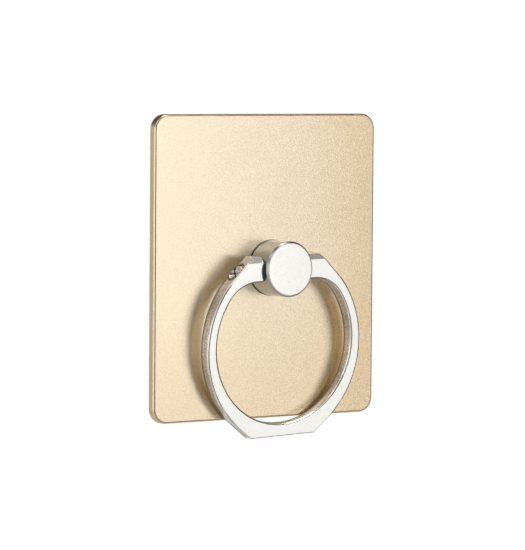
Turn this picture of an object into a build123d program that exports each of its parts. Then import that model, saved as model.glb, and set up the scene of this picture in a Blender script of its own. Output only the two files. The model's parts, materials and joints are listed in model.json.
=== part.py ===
from build123d import *
import os
from math import asin, atan, cos, degrees, hypot, radians, sin, sqrt

# A stick-on phone ring holder: a gold plate with an adhesive pad behind it, a post that swivels
# in the plate, and a finger ring hinged to the post by two small screws.
# The plate stands upright: X points right, Z up, and the front faces -Y. The back of the adhesive
# pad lies in the plane y = 0 and the origin is on the swivel axis. A level is a distance forward of
# that plane, so Plane.XZ.offset(level) lies at it. The hinge axis runs along X at z = 0.

# Plate and pad. The post stands a little to the right of the plate's middle.
plate_width = 35.0
plate_height = 40.0
plate_thickness = 1.1
plate_corner_radius = 2.0
plate_edge_radius = 0.3
plate_centre_x = -0.9
plate_centre_z = 0.2
pad_thickness = 1.0
pad_inset = 1.0
pad_hole_margin = 0.6

# Post, turned in one piece with the stem that passes through the plate
post_diameter = 7.3
post_edge_chamfer = 0.2
post_rim = 0.25
stem_diameter = 3.0
rivet_diameter = 4.2
rivet_height = 0.3
washer_seat_depth = 0.2
tapped_depth = 2.4

# Washers that hold the stem: one under the post and two behind the plate
base_washer_thickness = 0.12
base_washer_overhang = 0.05
spring_diameter = 6.6
spring_sheet = 0.2
spring_cone = 0.3
retainer_diameter = 5.6
retainer_thickness = 0.3
recess_depth = 0.4
recess_margin = 0.4

# Finger ring, one casting that is deepest at the two lugs beside the post. The outside of each limb is
# an arc centred a little lower than the bore, so the wall grows towards the foot. The flats' angles are
# measured from the vertical.
ring_bore = 21.3
ring_wall = 1.52
ring_edge_radius = 0.3
ring_back_chamfer = 0.25
rim_radius = 13.2
rim_drop = 0.4
hinge_to_bore_top = 0.87
foot_wall = 1.65
foot_depth = 1.4
flat_depth = 0.1
flat_edge_break = 0.12
lug_flat_angle = 45.0
side_flat_angle = 52.0
foot_flat_angle = 39.0
lug_depth = 2.2
lug_top = 1.8
lug_underside = 1.5
lug_straight = 0.9
lug_bevel_height = 0.7
lug_bevel_depth = 0.5
lug_web = 2.6

# Hinge screws and friction washers
screw_diameter = 1.1
screw_head_diameter = 1.5
screw_head_height = 0.5
screw_cross_length = 1.0
screw_cross_width = 0.28
screw_cross_depth = 0.2
friction_washer_diameter = 3.2
friction_washer_thickness = 0.25

# Clearances: radial on fits that turn, threads and screw heads, and along the axis on sliding faces
running_clearance = 0.05
thread_clearance = 0.02
head_clearance = 0.16
slide_gap = 0.05
face_gap = 0.02
swing_clearance = 0.3
fold_gap = 0.45

# Rest pose: the post is turned a little in the plate, counter-clockwise from the front
swivel_rest = 1.8

# Levels along the swivel axis. The hinge is high enough for the lugs' corners to pass the plate.
hinge_height = hypot(lug_top, lug_depth / 2) + swing_clearance
plate_back = pad_thickness
plate_face = plate_back + plate_thickness
hinge_level = plate_face + hinge_height
post_base = plate_face + face_gap + base_washer_thickness
post_face = hinge_level + friction_washer_diameter / 2 + post_rim
recess_floor = plate_back + recess_depth
spring_front = recess_floor - face_gap
spring_back = spring_front - spring_sheet - spring_cone
retainer_back = spring_back - retainer_thickness
rivet_back = retainer_back - rivet_height
recess_diameter = spring_diameter + 2 * recess_margin

# Distances along the hinge axis, outwards from the swivel axis
post_radius = post_diameter / 2
washer_seat = post_radius - washer_seat_depth
tapped_end = washer_seat - tapped_depth
lug_end = washer_seat + friction_washer_thickness + slide_gap
counterbore_floor = lug_end + lug_web
screw_seat = counterbore_floor + slide_gap

# The ring's outline in its own plane, x to the right and y up from the hinge axis. Outside, lines at
# 45 degrees leave each rim arc and run on to the top of the lug and to the foot.
bore_radius = ring_bore / 2
outer_radius = bore_radius + ring_wall
centre_y = hinge_to_bore_top - bore_radius
foot_y = centre_y - bore_radius - foot_wall
rim_x = outer_radius - sqrt(rim_radius**2 - rim_drop**2)
rim_y = centre_y - rim_drop
rim_end = rim_radius / sqrt(2)
lug_corner_x = rim_x + 2 * rim_end - (lug_top - rim_y)
foot_corner_x = rim_x + 2 * rim_end - (rim_y - foot_y)

# A round blend touches each lug's straight underside and the bore
blend_x = lug_end + lug_straight
underside_rise = -lug_underside - centre_y
blend_radius = (bore_radius + underside_rise - blend_x**2 / (bore_radius - underside_rise)) / 2
blend_reach = bore_radius / (bore_radius - blend_radius)
bore_start_x = blend_x * blend_reach
bore_start_y = centre_y + (underside_rise - blend_radius) * blend_reach

# The ring is drawn with its front parallel to the plate and its back leaning forward towards the foot. It
# rests folded about the hinge until its foot nearly reaches the level of the plate.
back_level = hinge_level - lug_depth / 2
front_level = hinge_level + lug_depth / 2
back_lean = degrees(atan((lug_depth - foot_depth) / -foot_y))
fold_rest = back_lean + degrees(asin((back_level - plate_face - fold_gap) / -foot_y))
hinge_axis = Axis((0, -hinge_level, 0), (1, 0, 0))
swivel_axis = Axis((0, 0, 0), (0, -1, 0))

left = -1
right = 1
up = 1
down = -1
os.makedirs("parts", exist_ok=True)


def save(part, name):
    """Label a finished piece and write it under its own name."""
    part.label = name
    export_step(part, f"parts/{name}.step")


def turned(part):
    """A piece that turns with the post, in its rest pose."""
    return part.rotate(swivel_axis, swivel_rest)


def flat_washer(back_level, thickness, outer_diameter, inner_diameter):
    """A flat washer around the swivel axis."""
    with BuildPart() as washer:
        with BuildSketch(Plane.XZ.offset(back_level)):
            Circle(outer_diameter / 2)
            Circle(inner_diameter / 2, mode=Mode.SUBTRACT)
        extrude(amount=thickness)
    return washer.part


# Base plate: rounded front edge, a hole for the stem and a recess behind it for the spring washer
with BuildPart() as base_plate:
    with BuildSketch(Plane.XZ.offset(plate_back)):
        with Locations((plate_centre_x, plate_centre_z)):
            RectangleRounded(plate_width, plate_height, plate_corner_radius)
        Circle(stem_diameter / 2 + running_clearance, mode=Mode.SUBTRACT)
    extrude(amount=plate_thickness)
    fillet(base_plate.faces().sort_by(Axis.Y)[0].outer_wire().edges(), plate_edge_radius)
    with BuildSketch(Plane.XZ.offset(plate_back)):
        Circle(recess_diameter / 2)
    extrude(amount=recess_depth, mode=Mode.SUBTRACT)
save(base_plate.part, "base_plate")

# Adhesive pad: set in from the plate's edge, with a hole around the turning end of the stem
with BuildPart() as adhesive_pad:
    with BuildSketch(Plane.XZ):
        with Locations((plate_centre_x, plate_centre_z)):
            RectangleRounded(
                plate_width - 2 * pad_inset,
                plate_height - 2 * pad_inset,
                plate_corner_radius - pad_inset,
            )
        Circle(recess_diameter / 2 + pad_hole_margin, mode=Mode.SUBTRACT)
    extrude(amount=pad_thickness)
save(adhesive_pad.part, "adhesive_pad")

# Swivel post: turned head, stem and domed rivet, then a washer seat and a tapped hole on each side
with BuildPart() as swivel_post:
    with BuildSketch(Plane.XY):
        with BuildLine():
            rivet = TangentArc((0, -rivet_back), (rivet_diameter / 2, -retainer_back), tangent=(1, 0))
            Polyline(
                rivet @ 1,
                (stem_diameter / 2, -retainer_back),
                (stem_diameter / 2, -post_base),
                (post_radius, -post_base),
                (post_radius, post_edge_chamfer - post_face),
                (post_radius - post_edge_chamfer, -post_face),
                (0, -post_face),
                rivet @ 0,
            )
        make_face()
    revolve(axis=Axis.Y)
    for side in (left, right):
        with BuildSketch(Plane.YZ.offset(side * washer_seat)):
            with Locations((-hinge_level, 0)):
                Circle(friction_washer_diameter / 2 + slide_gap)
        extrude(amount=side * post_radius, mode=Mode.SUBTRACT)
        with BuildSketch(Plane.YZ.offset(side * tapped_end)):
            with Locations((-hinge_level, 0)):
                Circle(screw_diameter / 2 + thread_clearance)
        extrude(amount=side * post_radius, mode=Mode.SUBTRACT)
save(turned(swivel_post.part), "swivel_post")

# Washers on the stem: a thin one under the post, a conical spring and the disc that retains it
stem_hole = stem_diameter + 2 * running_clearance
base_washer = flat_washer(
    post_base - base_washer_thickness,
    base_washer_thickness,
    post_diameter + 2 * base_washer_overhang,
    stem_hole,
)
save(turned(base_washer), "base_washer")

with BuildPart() as spring_washer:
    with BuildSketch(Plane.XY):
        with BuildLine():
            Polyline(
                (stem_hole / 2, -spring_back),
                (stem_hole / 2, -spring_back - spring_sheet),
                (spring_diameter / 2, -spring_front),
                (spring_diameter / 2, -spring_front + spring_sheet),
                close=True,
            )
        make_face()
    revolve(axis=Axis.Y)
save(turned(spring_washer.part), "spring_washer")

retaining_washer = flat_washer(
    retainer_back, retainer_thickness, retainer_diameter, stem_diameter + 2 * thread_clearance
)
save(turned(retaining_washer), "retaining_washer")


def on_bore(edge):
    """True for an edge of the bore, a blend or a lug's underside."""
    middle = edge @ 0.5
    on_lug_end = abs(abs(middle.X) - lug_end) < face_gap
    return not on_lug_end and hypot(middle.X, middle.Z - centre_y) < outer_radius - ring_wall / 2


def on_rim(edge):
    """True for an edge of the two outer arcs."""
    middle = edge @ 0.5
    return abs(middle.Z - centre_y) < ring_wall and abs(middle.X) > outer_radius - ring_wall / 2


def broken_edge(face):
    """The plane of a small chamfer where a machined face meets the ring's front."""
    front = Vector(0, -1, 0)
    inside = face.origin + front * front_level - face.z_dir * flat_edge_break
    return Plane(origin=inside, z_dir=face.z_dir + front)


# Finger ring: half the outline, mirrored, drawn on its front and cut off by the leaning back
with BuildPart() as finger_ring:
    with BuildSketch(Plane.XZ.offset(front_level)):
        with BuildLine():
            bore = TangentArc((0, centre_y - bore_radius), (bore_start_x, bore_start_y), tangent=(1, 0))
            blend = TangentArc((blend_x, -lug_underside), bore @ 1, tangent=(1, 0))
            lug = Polyline(
                blend @ 0,
                (lug_end, -lug_underside),
                (lug_end, lug_top),
                (lug_corner_x, lug_top),
                (rim_x + rim_end, rim_y + rim_end),
            )
            rim = ThreePointArc(lug @ 1, (rim_x + rim_radius, rim_y), (rim_x + rim_end, rim_y - rim_end))
            Polyline(rim @ 1, (foot_corner_x, foot_y), (0, foot_y))
            mirror(about=Plane.YZ)
        make_face()
    extrude(amount=-2 * lug_depth)
    split(bisect_by=Plane.XZ.offset(back_level).rotated((-back_lean, 0, 0)), keep=Keep.TOP)
    front_edges = finger_ring.faces().sort_by(Axis.Y)[0].edges()
    fillet(front_edges.filter_by(on_bore) + front_edges.filter_by(on_rim), ring_edge_radius)
    back_edges = finger_ring.faces().sort_by(Axis.Y)[-1].edges()
    chamfer(back_edges.filter_by(on_bore) + back_edges.filter_by(on_rim), ring_back_chamfer)
    # Six flats, the foot and a bevel along the top of the lugs are machined, and their front edges broken
    for side in (left, right):
        for way, angle in ((up, lug_flat_angle), (down, side_flat_angle), (down, foot_flat_angle)):
            facing = Vector(side * sin(radians(angle)), 0, way * cos(radians(angle)))
            flat = Plane(origin=(side * rim_x, 0, rim_y), z_dir=facing).offset(rim_radius - flat_depth)
            split(bisect_by=flat, keep=Keep.BOTTOM)
            split(bisect_by=broken_edge(flat), keep=Keep.BOTTOM)
    foot = Plane(origin=(0, 0, foot_y), z_dir=(0, 0, down))
    split(bisect_by=broken_edge(foot), keep=Keep.BOTTOM)
    bevel = Plane(
        origin=(0, -front_level, lug_top - lug_bevel_height),
        z_dir=(0, -lug_bevel_height, lug_bevel_depth),
    )
    split(bisect_by=bevel, keep=Keep.BOTTOM)
    for side in (left, right):
        with BuildSketch(Plane.YZ.offset(side * lug_end)):
            with Locations((-hinge_level, 0)):
                Circle(screw_diameter / 2 + running_clearance)
        extrude(amount=side * outer_radius, mode=Mode.SUBTRACT)
        with BuildSketch(Plane.YZ.offset(side * counterbore_floor)):
            with Locations((-hinge_level, 0)):
                Circle(screw_head_diameter / 2 + head_clearance)
        extrude(amount=side * outer_radius, mode=Mode.SUBTRACT)
save(turned(finger_ring.part.rotate(hinge_axis, fold_rest)), "finger_ring")

# A friction washer and a cross-head screw on each side
for side, side_name in ((left, "left"), (right, "right")):
    with BuildPart() as friction_washer:
        with BuildSketch(Plane.YZ.offset(side * washer_seat)):
            with Locations((-hinge_level, 0)):
                Circle(friction_washer_diameter / 2)
                Circle(screw_diameter / 2 + running_clearance, mode=Mode.SUBTRACT)
        extrude(amount=side * friction_washer_thickness)
    save(turned(friction_washer.part), f"{side_name}_friction_washer")

    with BuildPart() as hinge_screw:
        with BuildSketch(Plane.YZ.offset(side * (tapped_end + slide_gap))):
            with Locations((-hinge_level, 0)):
                Circle(screw_diameter / 2)
        extrude(amount=side * (screw_seat - tapped_end - slide_gap))
        with BuildSketch(Plane.YZ.offset(side * screw_seat)):
            with Locations((-hinge_level, 0)):
                Circle(screw_head_diameter / 2)
        extrude(amount=side * screw_head_height)
        with BuildSketch(Plane.YZ.offset(side * (screw_seat + screw_head_height - screw_cross_depth))):
            with Locations((-hinge_level, 0)):
                Rectangle(screw_cross_length, screw_cross_width)
                Rectangle(screw_cross_width, screw_cross_length)
        extrude(amount=side * screw_cross_depth, mode=Mode.SUBTRACT)
    save(turned(hinge_screw.part), f"{side_name}_hinge_screw")
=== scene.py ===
import json
import math

import bmesh
import bpy
from mathutils import Matrix, Vector


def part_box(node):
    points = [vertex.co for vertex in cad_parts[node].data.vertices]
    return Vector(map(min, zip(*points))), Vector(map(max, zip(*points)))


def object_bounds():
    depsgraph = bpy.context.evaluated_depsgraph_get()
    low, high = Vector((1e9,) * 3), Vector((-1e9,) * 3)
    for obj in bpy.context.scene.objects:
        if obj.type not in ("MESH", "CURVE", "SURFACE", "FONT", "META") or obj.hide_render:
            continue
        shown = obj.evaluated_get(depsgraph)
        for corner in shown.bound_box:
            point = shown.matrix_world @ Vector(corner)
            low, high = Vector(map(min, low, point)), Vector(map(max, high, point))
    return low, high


# A phone ring holder: a frosted gold plate that is stuck to a phone, a satin silver post that swivels
# in it and a silver finger ring hinged to the post. Metres, X right, Z up, the front towards -Y.
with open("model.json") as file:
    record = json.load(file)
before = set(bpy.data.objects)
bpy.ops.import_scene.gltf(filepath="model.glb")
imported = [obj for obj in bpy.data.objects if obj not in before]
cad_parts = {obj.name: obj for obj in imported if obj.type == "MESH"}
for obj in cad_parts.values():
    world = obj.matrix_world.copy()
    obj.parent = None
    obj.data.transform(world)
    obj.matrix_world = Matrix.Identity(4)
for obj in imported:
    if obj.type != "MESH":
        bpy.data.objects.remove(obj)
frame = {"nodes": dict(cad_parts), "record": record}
cad_low, cad_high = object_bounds()
nodes = frame["nodes"]
MM = 0.001

# Where the photograph was taken from, about the middle of the plate's front
plate_low, plate_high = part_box("base_plate")
plate_middle = (plate_low + plate_high) / 2
plate_front = Vector((plate_middle.x, plate_low.y, plate_middle.z))
camera_azimuth = -34.67
camera_elevation = 3.37
camera_roll = 0.43
camera_distance = 462.2 * MM
camera_lens = 230.2
camera_sensor = 36.0
aim_right = -0.473 * MM
aim_up = -1.142 * MM

# The swivel axis is the Y axis, and the post and ring are turned a little about it at rest
swivel_turn = math.radians(1.8)

# The ring's back at rest leans a little: the way that it faces forward, and its distance that way
ring_lean = math.radians(2.24)
ring_forward = (0.0, -math.cos(ring_lean), -math.sin(ring_lean))
ring_back = 3.407 * MM
hinge_level = 4.51 * MM


def direction(azimuth, elevation):
    """The way from the object to a camera or light, 0 degrees being straight in front."""
    a = math.radians(azimuth)
    e = math.radians(elevation)
    return Vector((math.sin(a) * math.cos(e), -math.cos(a) * math.cos(e), math.sin(e)))


# Node helpers
def add(tree, kind, **settings):
    """A new shader node with its settings."""
    node = tree.nodes.new("ShaderNode" + kind)
    for name, value in settings.items():
        setattr(node, name, value)
    return node


def feed(tree, node, socket, value):
    """Link an output to a node's input, or set the input to a plain value."""
    if isinstance(value, bpy.types.NodeSocket):
        tree.links.new(value, node.inputs[socket])
    else:
        node.inputs[socket].default_value = value


def math_node(tree, operation, first, second=0.0, clamp=False):
    """A Math node's result."""
    node = add(tree, "Math", operation=operation, use_clamp=clamp)
    feed(tree, node, 0, first)
    feed(tree, node, 1, second)
    return node.outputs[0]


def times(tree, first, second):
    """One value times another."""
    return math_node(tree, "MULTIPLY", first, second)


def plus(tree, first, second):
    """One value plus another."""
    return math_node(tree, "ADD", first, second)


def larger(tree, first, second):
    """The larger of two values."""
    return math_node(tree, "MAXIMUM", first, second)


def noise(tree, vector, scale, detail=2.0, roughness=0.5):
    """A noise value at so many lumps per metre."""
    node = add(tree, "TexNoise")
    feed(tree, node, "Vector", vector)
    feed(tree, node, "Scale", scale)
    feed(tree, node, "Detail", detail)
    feed(tree, node, "Roughness", roughness)
    return node.outputs["Fac"]


def ramp(tree, value, low, high, out_low=0.0, out_high=1.0):
    """A smooth step of a value from one level to another."""
    node = add(tree, "MapRange", interpolation_type="SMOOTHSTEP")
    feed(tree, node, "Value", value)
    feed(tree, node, "From Min", low)
    feed(tree, node, "From Max", high)
    feed(tree, node, "To Min", out_low)
    feed(tree, node, "To Max", out_high)
    return node.outputs["Result"]


def blend_colour(tree, amount, first, second):
    """A colour between two. A Mix node's colours are its inputs 6 and 7 and its output 2."""
    node = add(tree, "Mix", data_type="RGBA")
    feed(tree, node, "Factor", amount)
    feed(tree, node, 6, first)
    feed(tree, node, 7, second)
    return node.outputs[2]


def new_group(name, inputs, outputs):
    """An empty node group with float inputs (a vector first) and float outputs."""
    group = bpy.data.node_groups.new(name, "ShaderNodeTree")
    group.interface.new_socket("Vector", in_out="INPUT", socket_type="NodeSocketVector")
    for socket in inputs:
        group.interface.new_socket(socket, in_out="INPUT", socket_type="NodeSocketFloat")
    for socket in outputs:
        group.interface.new_socket(socket, in_out="OUTPUT", socket_type="NodeSocketFloat")
    return group, group.nodes.new("NodeGroupInput"), group.nodes.new("NodeGroupOutput")


def blasted_grain():
    """Fine round pits and bright specks, as bead blasting and casting leave them."""
    group, given, result = new_group("blasted_grain", ["Grains per metre"], ["Height", "Tone"])
    vector = given.outputs["Vector"]
    count = given.outputs["Grains per metre"]
    fine = noise(group, vector, count, 3.0, 0.6)
    coarse = noise(group, vector, times(group, count, 0.37), 2.0)
    cells = add(group, "TexVoronoi", feature="F1")
    feed(group, cells, "Vector", vector)
    feed(group, cells, "Scale", count)
    pits = ramp(group, cells.outputs["Distance"], 0.05, 0.65)
    height = plus(group, times(group, fine, 0.6), times(group, pits, 0.4))
    feed(group, result, "Height", height)
    mixed = plus(group, times(group, fine, 0.85), times(group, coarse, 0.15))
    feed(group, result, "Tone", ramp(group, mixed, 0.3, 0.7))
    return group


def turned_lines():
    """Fine circular tool marks round the Y axis, as a lathe leaves them."""
    group, given, result = new_group("turned_lines", ["Lines per metre"], ["Height", "Radius"])
    parts = add(group, "SeparateXYZ")
    feed(group, parts, 0, given.outputs["Vector"])
    flat = add(group, "CombineXYZ")
    feed(group, flat, "X", parts.outputs["X"])
    feed(group, flat, "Y", parts.outputs["Z"])
    radius = add(group, "VectorMath", operation="LENGTH")
    feed(group, radius, 0, flat.outputs[0])
    feed(group, result, "Radius", radius.outputs["Value"])
    line = add(group, "CombineXYZ")
    feed(group, line, "X", radius.outputs["Value"])
    feed(group, line, "Y", parts.outputs["Y"])
    marks = noise(group, line.outputs[0], given.outputs["Lines per metre"], 3.0, 0.7)
    feed(group, result, "Height", marks)
    return group


GRAIN = blasted_grain()
LINES = turned_lines()


def use_group(tree, group, vector, density):
    """A group node placed in a material with its own density."""
    node = add(tree, "Group", node_tree=group)
    feed(tree, node, 0, vector)
    feed(tree, node, 1, density)
    return node


def new_finish(name, **constants):
    """A material with its shader, the piece's own coordinates, and plain values on the shader."""
    material = bpy.data.materials.new(name)
    material.use_nodes = True
    tree = material.node_tree
    shader = tree.nodes["Principled BSDF"]
    for socket, value in constants.items():
        shader.inputs[socket.replace("_", " ")].default_value = value
    place = add(tree, "TexCoord")
    return material, tree, shader, place


def roughen(tree, shader, height, depth, distance):
    """A bump from a height, on the shader's normal."""
    bump = add(tree, "Bump")
    feed(tree, bump, "Strength", depth)
    feed(tree, bump, "Distance", distance)
    feed(tree, bump, "Height", height)
    feed(tree, shader, "Normal", bump.outputs["Normal"])


def gold_plate_finish():
    """Bead-blasted, gold anodised metal, deeper on its walls, with painted shade deepening it towards
    the lower right, a painted darker upper edge and a painted dark reflection line along the front edge.
    """
    material, tree, shader, place = new_finish("gold_plate_finish", Metallic=1.0)
    pale_pit = (0.66, 0.556, 0.40, 1)
    pale_speck = (0.945, 0.824, 0.648, 1)
    # The deep colours are used on the walls and for the painted shade towards the lower right
    deep_pit = (0.60, 0.465, 0.292, 1)
    deep_speck = (0.925, 0.75, 0.514, 1)
    # Colours of the painted upper-edge shade and of the painted dark reflection line
    painted_upper_shade_colour = (0.56, 0.42, 0.29, 1)
    painted_edge_reflection = (0.40, 0.28, 0.19, 1)
    pits_per_metre = 5000.0
    specks_per_metre = 8000.0
    patches_per_metre = 160.0
    pit_depth = 0.03 * MM
    vector = place.outputs["Object"]
    across = add(tree, "SeparateXYZ")
    feed(tree, across, 0, vector)
    facing = add(tree, "SeparateXYZ")
    feed(tree, facing, 0, place.outputs["Normal"])
    turned_front = math_node(tree, "ABSOLUTE", facing.outputs["Y"])

    # Where the gold is deeper: on its walls, and as painted shade towards the lower right. Where its
    # grain is coarser, its colour grain is also fainter at the left, a painted stand-in for the
    # highlight there
    painted_shade_to_right = ramp(tree, across.outputs["X"], 2.0 * MM, 20.0 * MM)
    painted_shade_to_foot = ramp(tree, across.outputs["Z"], 2.0 * MM, -20.0 * MM, 0.0, 0.45)
    painted_lower_right_shade = math_node(tree, "ADD", painted_shade_to_right, painted_shade_to_foot, clamp=True)
    deep_walls_and_painted_shade = larger(tree, painted_lower_right_shade, ramp(tree, turned_front, 0.6, 0.3))
    coarser = ramp(tree, across.outputs["X"], -17.0 * MM, 5.0 * MM, 0.6, 1.15)

    # Specks and slow patches in the colour
    specks = use_group(tree, GRAIN, vector, specks_per_metre)
    drift = noise(tree, vector, patches_per_metre, 1.0)
    swing = times(tree, math_node(tree, "SUBTRACT", specks.outputs["Tone"], 0.5), coarser)
    tone = plus(tree, times(tree, drift, 0.25), plus(tree, swing, 0.375))
    pale_gold = blend_colour(tree, tone, pale_pit, pale_speck)
    deep_gold = blend_colour(tree, tone, deep_pit, deep_speck)
    gold = blend_colour(tree, deep_walls_and_painted_shade, pale_gold, deep_gold)

    # Painted shade: a darker upper edge. Painted dark reflection: a dark line along the front edge
    upper = times(tree, ramp(tree, facing.outputs["Z"], 0.25, 0.6), ramp(tree, turned_front, 0.99, 0.92))
    line = times(tree, ramp(tree, turned_front, 0.80, 0.90), ramp(tree, turned_front, 0.996, 0.98))
    gold_with_painted_upper_shade = blend_colour(tree, upper, gold, painted_upper_shade_colour)
    feed(tree, shader, "Base Color", blend_colour(tree, line, gold_with_painted_upper_shade, painted_edge_reflection))
    feed(tree, shader, "Roughness", ramp(tree, drift, 0.25, 0.75, 0.275, 0.295))
    pits = use_group(tree, GRAIN, vector, pits_per_metre)
    roughen(tree, shader, times(tree, pits.outputs["Height"], coarser), 0.6, pit_depth)
    return material


def post_finish():
    """Turned silver metal with a satin face and a darker rim painted on as a dark reflection, darkest
    where it faces up, where painted shade hides a highlight.
    """
    material, tree, shader, place = new_finish("post_finish", Metallic=1.0)
    satin_low = (0.803, 0.808, 0.782, 1)
    satin_high = (0.843, 0.848, 0.826, 1)
    painted_rim_reflection = (0.42, 0.41, 0.39, 1)
    painted_rim_top_shade = (0.18, 0.172, 0.16, 1)
    rim_start = 3.28 * MM
    rim_full = 3.42 * MM
    marks_per_metre = 9000.0
    haze_per_metre = 3500.0
    mark_depth = 0.01 * MM
    vector = place.outputs["Object"]
    marks = use_group(tree, LINES, vector, marks_per_metre)
    haze = noise(tree, vector, haze_per_metre, 2.0)
    bright = blend_colour(tree, haze, satin_low, satin_high)
    facing = add(tree, "SeparateXYZ")
    feed(tree, facing, 0, place.outputs["Normal"])
    face = ramp(tree, math_node(tree, "ABSOLUTE", facing.outputs["Y"]), 0.3, 0.6)
    # Painted dark reflection round the rim of the face, with painted shade where the rim faces up
    rim = times(tree, face, ramp(tree, marks.outputs["Radius"], rim_start, rim_full))
    painted_rim_colour = blend_colour(tree, ramp(tree, facing.outputs["Z"], 0.3, 0.6), painted_rim_reflection, painted_rim_top_shade)
    feed(tree, shader, "Base Color", blend_colour(tree, rim, bright, painted_rim_colour))
    feed(tree, shader, "Roughness", ramp(tree, haze, 0.25, 0.75, 0.27, 0.30))
    roughen(tree, shader, marks.outputs["Height"], 0.05, mark_depth)
    return material


def ring_finish():
    """Silver casting: satin front and flats, grainy cast walls, and painted dark lines of shade and
    reflection along its edges and round its screw seats.
    """
    material, tree, shader, place = new_finish("ring_finish", Metallic=1.0)
    satin_silver = (0.842, 0.85, 0.826, 1)
    cast_silver = (0.96, 0.945, 0.925, 1)
    cast_spots = (0.58, 0.575, 0.57, 1)
    # Colour of the painted shade along the back edge and round the screw seats
    painted_brown_shade = (0.30, 0.255, 0.205, 1)
    # Colour of the painted dark reflection along the rounded edges
    painted_edge_reflection = (0.32, 0.32, 0.315, 1)
    satin_polish = 0.27
    cast_polish = 0.36
    unpolished_back = 0.8
    grains_per_metre = 4200.0
    streaks_per_metre = 3000.0
    brush_lines_per_metre = 7000.0
    grain_depth = 0.05 * MM
    vector = place.outputs["Object"]
    facing = add(tree, "SeparateXYZ")
    feed(tree, facing, 0, place.outputs["Normal"])
    turned_front = math_node(tree, "ABSOLUTE", facing.outputs["Y"])
    wall = ramp(tree, turned_front, 0.85, 0.35)

    # The ring's own place: turned upright, with the hinge axis at the origin
    own = add(tree, "Mapping")
    feed(tree, own, "Vector", vector)
    feed(tree, own, "Location", (0.0, hinge_level, 0.0))
    feed(tree, own, "Rotation", (0.0, swivel_turn, 0.0))
    level = add(tree, "SeparateXYZ")
    feed(tree, level, 0, own.outputs[0])

    # Painted shade and painted dark reflection on the rounded edges: dark all over where they face right
    # or down, and a thin dark line elsewhere
    downward = ramp(tree, facing.outputs["Z"], -0.15, -0.45)
    not_left = ramp(tree, facing.outputs["X"], -0.5, -0.2)
    shaded = larger(tree, ramp(tree, facing.outputs["X"], 0.15, 0.45), times(tree, downward, not_left))
    whole = times(tree, shaded, ramp(tree, turned_front, 0.2, 0.4))
    marked = larger(tree, whole, ramp(tree, turned_front, 0.82, 0.90))
    forward = times(tree, facing.outputs["Y"], -1.0)
    not_flat = ramp(tree, turned_front, 0.992, 0.97)
    painted_edge_darkening = times(tree, marked, times(tree, not_flat, ramp(tree, forward, 0.1, 0.2)))

    # The cast skin on the walls, from below the lugs to above the flats
    above_flats = ramp(tree, level.outputs["Z"], -16.9 * MM, -16.5 * MM)
    below_lugs = ramp(tree, level.outputs["Z"], -1.6 * MM, -2.0 * MM)
    cast = times(tree, wall, times(tree, above_flats, below_lugs))
    grain = use_group(tree, GRAIN, vector, grains_per_metre)
    along = add(tree, "Mapping")
    feed(tree, along, "Vector", vector)
    feed(tree, along, "Scale", (0.12, 1.0, 0.12))
    streaks = noise(tree, along.outputs[0], streaks_per_metre, 2.0)
    mottle = plus(tree, times(tree, grain.outputs["Tone"], 0.5), times(tree, streaks, 0.5))
    skin = times(tree, cast, ramp(tree, mottle, 0.3, 0.7))

    # The back of the lugs, left unpolished
    back = ramp(tree, facing.outputs["Y"], 0.5, 0.9)
    unpolished = times(tree, back, ramp(tree, level.outputs["Z"], -6.0 * MM, -3.0 * MM))

    # Painted shade: dark lines round the screws' seats, and along the back edge, where it also stands
    # for the dark reflected plate
    off_axis = add(tree, "VectorMath", operation="MULTIPLY")
    feed(tree, off_axis, 0, own.outputs[0])
    feed(tree, off_axis, 1, (0.0, 1.0, 1.0))
    from_hinge = add(tree, "VectorMath", operation="LENGTH")
    feed(tree, from_hinge, 0, off_axis.outputs[0])
    painted_screw_seat_shade = times(tree, wall, ramp(tree, from_hinge.outputs["Value"], 1.14 * MM, 1.0 * MM))
    depth = add(tree, "VectorMath", operation="DOT_PRODUCT")
    feed(tree, depth, 0, vector)
    feed(tree, depth, 1, ring_forward)
    near_back = ramp(tree, depth.outputs["Value"], ring_back + 0.75 * MM, ring_back + 0.35 * MM)
    painted_back_edge_shade = times(tree, wall, near_back)

    bare = blend_colour(tree, larger(tree, cast, unpolished), satin_silver, cast_silver)
    silver = blend_colour(tree, skin, bare, cast_spots)
    silver_with_painted_shade = blend_colour(tree, larger(tree, painted_back_edge_shade, painted_screw_seat_shade), silver, painted_brown_shade)
    feed(tree, shader, "Base Color", blend_colour(tree, painted_edge_darkening, silver_with_painted_shade, painted_edge_reflection))
    polish = ramp(tree, cast, 0.0, 1.0, satin_polish, cast_polish)
    feed(tree, shader, "Roughness", larger(tree, polish, times(tree, unpolished, unpolished_back)))

    # Brushed lines all over, and grain on the cast walls
    brushed = add(tree, "Mapping")
    feed(tree, brushed, "Vector", vector)
    feed(tree, brushed, "Scale", (0.12, 1.0, 1.0))
    lines = noise(tree, brushed.outputs[0], brush_lines_per_metre, 2.0)
    satin = times(tree, lines, 0.12)
    rough = times(tree, cast, grain.outputs["Height"])
    roughen(tree, shader, plus(tree, satin, rough), 0.7, grain_depth)
    return material


def washer_finish():
    """Matte black plastic."""
    material, tree, shader, place = new_finish("washer_finish", Metallic=0.0)
    pit_black = (0.012, 0.012, 0.011, 1)
    worn_black = (0.03, 0.029, 0.027, 1)
    grains_per_metre = 6000.0
    grain = use_group(tree, GRAIN, place.outputs["Object"], grains_per_metre)
    feed(tree, shader, "Base Color", blend_colour(tree, grain.outputs["Tone"], pit_black, worn_black))
    feed(tree, shader, "Roughness", ramp(tree, grain.outputs["Tone"], 0.0, 1.0, 0.45, 0.6))
    roughen(tree, shader, grain.outputs["Height"], 0.3, 0.02 * MM)
    return material


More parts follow.
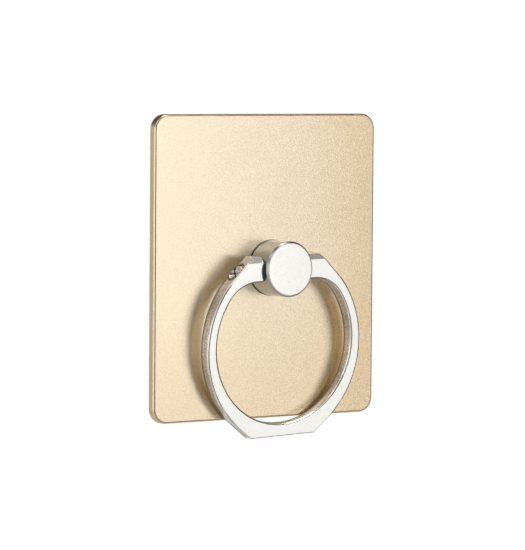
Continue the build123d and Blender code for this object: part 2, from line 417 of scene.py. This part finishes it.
def steel_finish(name, dark, light):
    """Turned or rolled steel with circular marks."""
    material, tree, shader, place = new_finish(name, Metallic=1.0)
    marks_per_metre = 6000.0
    haze_per_metre = 1500.0
    mark_depth = 0.015 * MM
    vector = place.outputs["Object"]
    marks = use_group(tree, LINES, vector, marks_per_metre)
    haze = noise(tree, vector, haze_per_metre, 3.0)
    feed(tree, shader, "Base Color", blend_colour(tree, haze, dark, light))
    feed(tree, shader, "Roughness", ramp(tree, marks.outputs["Height"], 0.3, 0.7, 0.22, 0.36))
    roughen(tree, shader, marks.outputs["Height"], 0.2, mark_depth)
    return material


def foam_finish():
    """Pale closed-cell foam tape with a tacky skin."""
    material, tree, shader, place = new_finish("foam_finish", Metallic=0.0)
    cell_shade = (0.62, 0.62, 0.60, 1)
    cell_white = (0.80, 0.80, 0.78, 1)
    cells_per_metre = 3200.0
    patches_per_metre = 350.0
    cell_depth = 0.06 * MM
    vector = place.outputs["Object"]
    cells = add(tree, "TexVoronoi", feature="F1")
    feed(tree, cells, "Vector", vector)
    feed(tree, cells, "Scale", cells_per_metre)
    bubbles = ramp(tree, cells.outputs["Distance"], 0.1, 0.7)
    patches = noise(tree, vector, patches_per_metre, 3.0)
    feed(tree, shader, "Base Color", blend_colour(tree, bubbles, cell_shade, cell_white))
    feed(tree, shader, "Roughness", ramp(tree, patches, 0.3, 0.7, 0.38, 0.62))
    roughen(tree, shader, bubbles, 0.35, cell_depth)
    return material


finishes = {
    "gold_plate": gold_plate_finish(),
    "post_metal": post_finish(),
    "ring_metal": ring_finish(),
    "black_washer": washer_finish(),
    "spring_steel": steel_finish("spring_steel_finish", (0.42, 0.42, 0.42, 1), (0.58, 0.58, 0.57, 1)),
    "screw_steel": steel_finish("screw_steel_finish", (0.74, 0.72, 0.69, 1), (0.88, 0.86, 0.83, 1)),
    "adhesive_foam": foam_finish(),
}
for subpart in frame["record"]["subparts"]:
    nodes[subpart["node"]].material_slots[0].material = finishes[subpart["material_slot"]]


# Camera
def place_camera():
    """The photograph's own view."""
    back = direction(camera_azimuth, camera_elevation)
    azimuth = math.radians(camera_azimuth)
    level_right = Vector((math.cos(azimuth), math.sin(azimuth), 0))
    level_up = back.cross(level_right)
    roll = math.radians(camera_roll)
    right = level_right * math.cos(roll) + level_up * math.sin(roll)
    up = level_up * math.cos(roll) - level_right * math.sin(roll)
    stand = plate_front + back * camera_distance
    look_back = (stand - plate_front - right * aim_right - up * aim_up).normalized()
    side = up.cross(look_back).normalized()
    turn = Matrix((side, look_back.cross(side), look_back)).transposed()
    data = bpy.data.cameras.new("photo_camera")
    data.lens = camera_lens
    data.sensor_width = camera_sensor
    data.clip_start = 0.01
    data.clip_end = 20.0
    camera = bpy.data.objects.new("photo_camera", data)
    camera.matrix_world = Matrix.Translation(stand) @ turn.to_4x4()
    bpy.context.scene.collection.objects.link(camera)
    bpy.context.scene.camera = camera


place_camera()
bpy.context.scene.view_settings.view_transform = "Standard"


# Light
def softbox(name, azimuth, elevation, distance, width, height, brightness):
    """A rectangular studio light that faces the object, as bright as a white of that value."""
    data = bpy.data.lights.new(name, "AREA")
    data.shape = "RECTANGLE"
    data.size = width
    data.size_y = height
    data.energy = math.pi * width * height * brightness
    light = bpy.data.objects.new(name, data)
    away = direction(azimuth, elevation)
    turn = away.to_track_quat("Z", "Y").to_matrix().to_4x4()
    light.matrix_world = Matrix.Translation(plate_front + away * distance) @ turn
    bpy.context.scene.collection.objects.link(light)


# Azimuth and elevation in degrees, distance, width and height in metres, then brightness
softbox("key_panel", 23.0, 2.8, 0.3, 0.085, 0.15, 1.6)
softbox("front_panel", 38.5, -6.0, 0.5, 0.14, 0.16, 0.96)
softbox("upper_front_panel", 38.5, 16.0, 0.5, 0.2, 0.14, 1.7)
softbox("lower_front_panel", 35.0, -22.0, 0.5, 0.2, 0.14, 0.95)
softbox("left_front_panel", -60.0, 0.0, 0.5, 0.5, 0.35, 1.2)
softbox("left_panel", -114.0, 0.0, 0.5, 0.17, 0.35, 1.8)
softbox("back_left_panel", -150.0, 0.0, 0.5, 0.3, 0.35, 0.4)
softbox("upper_left_panel", -50.0, 45.0, 0.5, 0.25, 0.25, 1.3)
softbox("high_front_panel", 0.0, 40.0, 0.5, 0.2, 0.2, 1.0)
softbox("back_panel", 180.0, -3.0, 0.6, 0.28, 0.25, 3.2)
softbox("top_panel", 35.0, 66.0, 0.5, 0.22, 0.22, 7.5)

room_colour = (0.16, 0.14, 0.12, 1)
backdrop_white = (1.0, 1.0, 1.0, 1)
floor_half = 1.2
floor_drop = 200 * MM


def studio_world():
    """A white backdrop, with a darker, warmer room around it for the metal to reflect."""
    world = bpy.data.worlds.new("studio")
    world.use_nodes = True
    bpy.context.scene.world = world
    tree = world.node_tree
    background = tree.nodes["Background"]
    path = add(tree, "LightPath")
    studio = blend_colour(tree, path.outputs["Is Camera Ray"], room_colour, backdrop_white)
    feed(tree, background, "Color", studio)
    feed(tree, background, "Strength", 1.0)


studio_world()


# Floor
def pale_floor():
    """A plain pale floor below the object, as white to the camera as the backdrop."""
    pale_low = (0.9, 0.9, 0.9, 1)
    pale_high = (0.94, 0.94, 0.94, 1)
    no_glow = (0.0, 0.0, 0.0, 1)
    mesh = bpy.data.meshes.new("floor")
    shape = bmesh.new()
    bmesh.ops.create_grid(shape, x_segments=1, y_segments=1, size=floor_half)
    bmesh.ops.translate(shape, verts=shape.verts, vec=(0, 0, cad_low.z - floor_drop))
    shape.to_mesh(mesh)
    shape.free()
    floor = bpy.data.objects.new("floor", mesh)
    material, tree, shader, place = new_finish("floor_finish", Roughness=0.9)
    speckle = noise(tree, place.outputs["Object"], 40.0)
    feed(tree, shader, "Base Color", blend_colour(tree, speckle, pale_low, pale_high))
    path = add(tree, "LightPath")
    glow = blend_colour(tree, path.outputs["Is Camera Ray"], no_glow, backdrop_white)
    feed(tree, shader, "Emission Color", glow)
    feed(tree, shader, "Emission Strength", 1.0)
    mesh.materials.append(material)
    bpy.context.scene.collection.objects.link(floor)


pale_floor()
